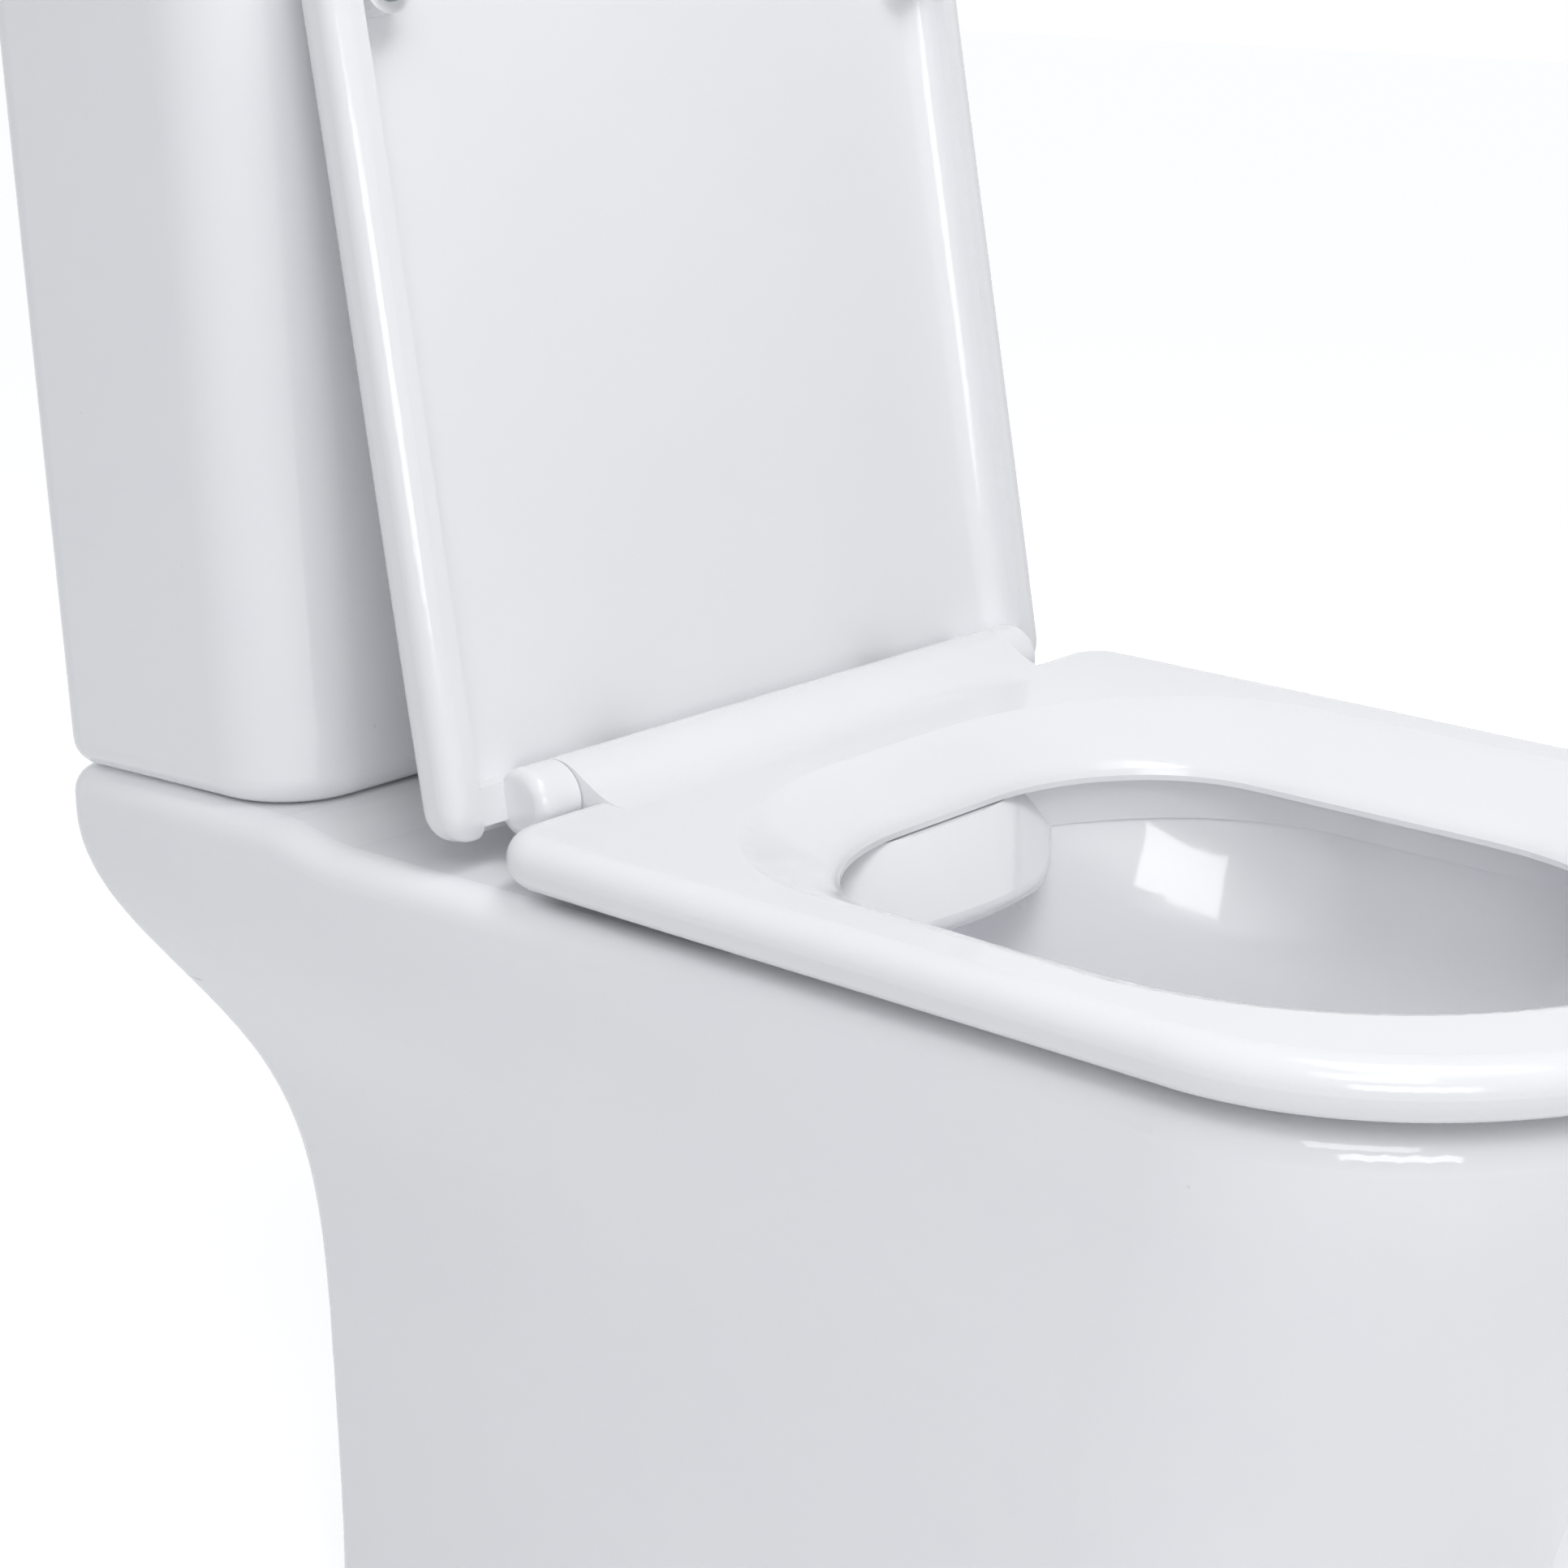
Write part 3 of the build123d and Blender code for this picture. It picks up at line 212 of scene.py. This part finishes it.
def duroplast(name, color):
    """Pressed thermoset: hard gloss with a faint orange peel and hairline rubbing."""
    m = Mat(name, color, 0.12, ior=1.5)
    tone = m.ramp(m.noise(7.0, 3, 0.5), 0.3, 0.7, 0.0, 1.0)
    m.set_color(m.mix(tone, color, tint(color, 0.985)))
    wear = m.noise(140.0, 4, 0.7, place=m.scaled(1.0, 0.08, 1.0))
    haze = m.ramp(m.noise(16.0, 3, 0.6), 0.3, 0.75, 0.075, 0.14)
    m.set_rough(m.math("ADD", haze, m.ramp(wear, 0.62, 0.8, 0.0, 0.05)))
    m.add_bump(m.noise(14.0, 1.5, 0.4), 0.10, 0.0018)
    m.add_bump(m.noise(240.0, 2, 0.5), 0.06, 0.00025)
    return m.material


def plastic(name, color):
    """Injection moulded plastic with a fine, slightly uneven grain."""
    m = Mat(name, color, 0.4, ior=1.46)
    tone = m.ramp(m.noise(28.0, 3, 0.55), 0.3, 0.7, 0.0, 1.0)
    m.set_color(m.mix(tone, color, tint(color, 0.93)))
    m.set_rough(m.ramp(m.noise(55.0, 3, 0.6), 0.3, 0.7, 0.32, 0.48))
    m.add_bump(m.noise(900.0, 2, 0.6), 0.18, 0.0002)
    return m.material


def rubber(name, color):
    """Matt rubber with a pale bloom in places."""
    m = Mat(name, color, 0.8, ior=1.45)
    bloom = m.ramp(m.noise(70.0, 4, 0.65), 0.4, 0.75, 0.0, 1.0)
    m.set_color(m.mix(bloom, color, tuple(min(1, v * 1.12 + 0.012) for v in color)))
    m.set_rough(m.ramp(m.noise(120.0, 3, 0.6), 0.3, 0.7, 0.62, 0.85))
    m.add_bump(m.noise(1100.0, 2, 0.6), 0.3, 0.0002)
    return m.material


def chrome(name):
    """Polished chrome plate with faint wipe marks."""
    m = Mat(name, (0.80, 0.81, 0.83), 0.06, metallic=1.0)
    wipe = m.noise(160.0, 4, 0.65, place=m.scaled(1.0, 0.12, 1.0))
    m.set_rough(m.ramp(wipe, 0.35, 0.8, 0.035, 0.13))
    tone = m.ramp(m.noise(20.0, 3, 0.5), 0.3, 0.7, 0.0, 1.0)
    m.set_color(m.mix(tone, (0.80, 0.81, 0.83), (0.74, 0.76, 0.79)))
    m.add_bump(m.noise(30.0, 1, 0.4), 0.05, 0.0005)
    return m.material


def plated(name, color):
    """Zinc plated steel: cloudy crystals, a little yellow and duller in places."""
    m = Mat(name, color, 0.35, metallic=1.0)
    shade = m.ramp(m.cells(260.0), 0.1, 0.8, 0.0, 1.0)
    dull = m.ramp(m.noise(90.0, 4, 0.6), 0.4, 0.7, 0.0, 1.0)
    col = m.mix(shade, color, tint(color, 0.86))
    yellow = (color[0] * 0.95, color[1] * 0.92, color[2] * 0.84)
    m.set_color(m.mix(m.math("MULTIPLY", dull, 0.4), col, yellow))
    m.set_rough(m.ramp(m.noise(150.0, 3, 0.6), 0.3, 0.7, 0.26, 0.46))
    m.add_bump(m.noise(700.0, 3, 0.6), 0.15, 0.0002)
    return m.material


# ---------------------------------------------------------------- finishes
WHITE = (0.91, 0.918, 0.94)
MATS = {
    "china": china("china", WHITE),
    "china_foot": china("china_pan", WHITE, foot=True),
    "seat_white": duroplast("duroplast", (0.88, 0.884, 0.904)),
    "chrome": chrome("chrome"),
    "spring_steel": plated("spring_steel", (0.58, 0.58, 0.60)),
    "white_plastic": plastic("white_plastic", (0.74, 0.745, 0.73)),
    "blue_plastic": plastic("blue_plastic", (0.10, 0.27, 0.52)),
    "grey_plastic": plastic("grey_plastic", (0.22, 0.225, 0.235)),
    "grey_rubber": rubber("grey_rubber", (0.33, 0.37, 0.37)),
    "white_rubber": rubber("white_rubber", (0.72, 0.72, 0.72)),
    "black_rubber": rubber("black_rubber", (0.03, 0.03, 0.032)),
    "steel": plated("zinc_plate", (0.62, 0.63, 0.64)),
}
slots = {sub["node"]: sub["material_slot"] for sub in frame["record"]["subparts"]}
for name, obj in nodes.items():
    obj.data.materials.clear()
    obj.data.materials.append(MATS["china_foot" if name == "pan" else slots[name]])

# ---------------------------------------------------------------- rear ends of the pan's side walls
PAN_BODY = "pan_and_cistern"
HINGE_Y = 0.1075            # the hinge axis, from which the pan's sections are measured
END_LOW, END_HIGH = 0.3155, 0.3370  # heights between which the wall is mended
END_LENGTH = 0.030
END_INSET = 0.00006         # how far it stays under the skin
END_LEVELS = 12
END_STEPS = 14              # points on the rounded corner
END_SHARP = math.radians(35)  # from this angle on, an edge looks sharp
CORNER = 0.0096             # radius of the rear corner
INNER_LOW, INNER_HIGH = 0.1494, 0.1652  # inner face at the two heights
SIDE_DRAW = 0.02            # how fast the sides draw in towards the front
SECTION_Z = 0.320           # height from which the pan's outline is followed
# the outline there in mm: its value, its slope and its bend by the height in mm
HALF_WIDTH = (164.0, 0.585, -0.002)
REAR_EDGE = (188.5, 0.71, 0.001)  # behind the hinge axis


def outline(curve, height):
    """A measure of the pan's outline at a height, in metres."""
    value, slope, bend = curve
    up = (height - SECTION_Z) * 1000
    return (value + slope * up + bend * up * up) / 1000


def wall_end(side):
    """Fills the thin place at the rear edge of a side wall, just under the outer skin."""
    bm = bmesh.new()
    rings = []
    for i in range(END_LEVELS + 1):
        share = i / END_LEVELS
        z = END_LOW + (END_HIGH - END_LOW) * share
        half = outline(HALF_WIDTH, z)
        rear = HINGE_Y + outline(REAR_EDGE, z)
        inner = INNER_LOW + (INNER_HIGH - INNER_LOW) * share
        turn = min(math.pi / 2, math.acos(max(0.0, 1 - (half - inner) / CORNER)))
        points = [(inner, rear - END_LENGTH),
                  (half - END_INSET - SIDE_DRAW * END_LENGTH, rear - END_LENGTH)]
        for k in range(END_STEPS + 1):
            angle = turn * k / END_STEPS
            points.append((half - CORNER + (CORNER - END_INSET) * math.cos(angle),
                           rear - CORNER + (CORNER - END_INSET) * math.sin(angle)))
        points.append((inner, points[-1][1]))
        rings.append([bm.verts.new((side * x, y, z)) for x, y in points])
    count = len(rings[0])
    for low, high in zip(rings, rings[1:]):
        for k in range(count):
            after = (k + 1) % count
            bm.faces.new((low[k], low[after], high[after], high[k]))
    bm.faces.new(rings[0])
    bm.faces.new(rings[-1])
    bmesh.ops.recalc_face_normals(bm, faces=bm.faces)
    mesh = bpy.data.meshes.new("pan_wall_end")
    bm.to_mesh(mesh)
    bm.free()
    mesh.polygons.foreach_set("use_smooth", [True] * len(mesh.polygons))
    mesh.set_sharp_from_angle(angle=END_SHARP)
    mesh.materials.append(MATS["china_foot"])
    obj = bpy.data.objects.new("pan_wall_end_" + ("right" if side > 0 else "left"), mesh)
    scene.collection.objects.link(obj)
    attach(obj, PAN_BODY)


for side in (-1, 1):
    wall_end(side)

# ---------------------------------------------------------------- springs under the buttons
for name, joint in (("spring_full", "full_button_press"),
                    ("spring_half", "half_button_press")):
    coil = bpy.data.objects.new(name + "_coil", nodes[name].data.copy())
    scene.collection.objects.link(coil)
    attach(coil, "cistern_cover")
    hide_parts(name)
    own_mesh(coil)

# ---------------------------------------------------------------- floor and world


def maximum(tree, a, b):
    """The larger of two outputs in a node tree."""
    node = tree.nodes.new("ShaderNodeMath")
    node.operation = "MAXIMUM"
    tree.links.new(a, node.inputs[0])
    tree.links.new(b, node.inputs[1])
    return node.outputs[0]


FLOOR_HALF = 9.0            # half the side of the square floor
FLOOR_COLOR = (0.80, 0.80, 0.81)
FLOOR_GLOW = 0.60           # added to the lit floor where it is seen or mirrored


def floor_material():
    """Matt floor that turns white towards the camera and in mirrors."""
    material = bpy.data.materials.new("floor")
    material.use_nodes = True
    tree = material.node_tree
    matt = tree.nodes["Principled BSDF"]
    matt.inputs["Roughness"].default_value = 0.9
    matt.inputs["Base Color"].default_value = (*FLOOR_COLOR, 1)
    ray = tree.nodes.new("ShaderNodeLightPath")
    glow = tree.nodes.new("ShaderNodeEmission")
    glow.inputs["Color"].default_value = (1, 1, 1, 1)
    glow.inputs["Strength"].default_value = FLOOR_GLOW
    both = tree.nodes.new("ShaderNodeAddShader")
    pick = tree.nodes.new("ShaderNodeMixShader")
    seen = maximum(tree, ray.outputs["Is Camera Ray"], ray.outputs["Is Glossy Ray"])
    tree.links.new(matt.outputs[0], both.inputs[0])
    tree.links.new(glow.outputs[0], both.inputs[1])
    tree.links.new(seen, pick.inputs[0])
    tree.links.new(matt.outputs[0], pick.inputs[1])
    tree.links.new(both.outputs[0], pick.inputs[2])
    tree.links.new(pick.outputs[0], tree.nodes["Material Output"].inputs["Surface"])
    return material


floor_mesh = bpy.data.meshes.new("floor")
bm = bmesh.new()
bmesh.ops.create_grid(bm, x_segments=1, y_segments=1, size=FLOOR_HALF)
bm.to_mesh(floor_mesh)
bm.free()
floor_mesh.materials.append(floor_material())
floor = bpy.data.objects.new("floor", floor_mesh)
scene.collection.objects.link(floor)

SKY = 0.45                  # diffuse light from all round
SKY_LEAN = (0.03, 0.18, -0.02)  # how it grows towards +x, +y and +z
SKY_COLOR = (0.94, 0.96, 1.0)


def leaning_sky():
    """World that lights more from one side, and looks white where it is seen."""
    world = bpy.data.worlds.new("world")
    world.use_nodes = True
    tree = world.node_tree
    sky = tree.nodes["Background"]
    sky.inputs["Color"].default_value = (*SKY_COLOR, 1)
    way = tree.nodes.new("ShaderNodeTexCoord")
    lean = tree.nodes.new("ShaderNodeVectorMath")
    lean.operation = "DOT_PRODUCT"
    lean.inputs[1].default_value = SKY_LEAN
    tree.links.new(way.outputs["Generated"], lean.inputs[0])
    level = tree.nodes.new("ShaderNodeMath")
    level.operation = "ADD"
    level.inputs[1].default_value = SKY
    tree.links.new(lean.outputs["Value"], level.inputs[0])
    lift = tree.nodes.new("ShaderNodeMath")
    lift.operation = "MAXIMUM"
    lift.inputs[1].default_value = 0.0
    tree.links.new(level.outputs[0], lift.inputs[0])
    tree.links.new(lift.outputs[0], sky.inputs["Strength"])
    white = tree.nodes.new("ShaderNodeBackground")
    white.inputs["Color"].default_value = (1, 1, 1, 1)
    white.inputs["Strength"].default_value = 1.0
    ray = tree.nodes.new("ShaderNodeLightPath")
    through = maximum(tree, ray.outputs["Is Camera Ray"], ray.outputs["Is Transmission Ray"])
    mirrored = maximum(tree, through, ray.outputs["Is Glossy Ray"])
    pick = tree.nodes.new("ShaderNodeMixShader")
    tree.links.new(mirrored, pick.inputs[0])
    tree.links.new(sky.outputs[0], pick.inputs[1])
    tree.links.new(white.outputs[0], pick.inputs[2])
    tree.links.new(pick.outputs[0], tree.nodes["World Output"].inputs["Surface"])
    return world


scene.world = leaning_sky()

# ---------------------------------------------------------------- lamps


def softbox(name, at, aim, width, height, radiance):
    """Rectangular area lamp; radiance is what its face looks like in a mirror."""
    data = bpy.data.lights.new(name, "AREA")
    data.shape = "RECTANGLE"
    data.size = width
    data.size_y = height
    data.energy = radiance * math.pi * width * height
    lamp = bpy.data.objects.new(name, data)
    scene.collection.objects.link(lamp)
    lamp.location = at
    lamp.rotation_mode = "QUATERNION"
    lamp.rotation_quaternion = (Vector(aim) - Vector(at)).to_track_quat("-Z", "Y")


softbox("key", (-1.9, -1.6, 2.7), (0, 0, 0.4), 1.6, 1.2, 3.0)
softbox("over", (-0.25, -0.85, 2.3), (0, -0.35, 0.3), 1.3, 1.1, 1.7)
softbox("bowl", (-0.15, -0.35, 1.5), (0.03, -0.1, 0.35), 0.45, 0.4, 5.0)
softbox("window", (-1.25, -1.45, 0.84), (0.1, 0.0, 0.36), 1.0, 0.5, 4.2)

scene.view_settings.view_transform = "Standard"
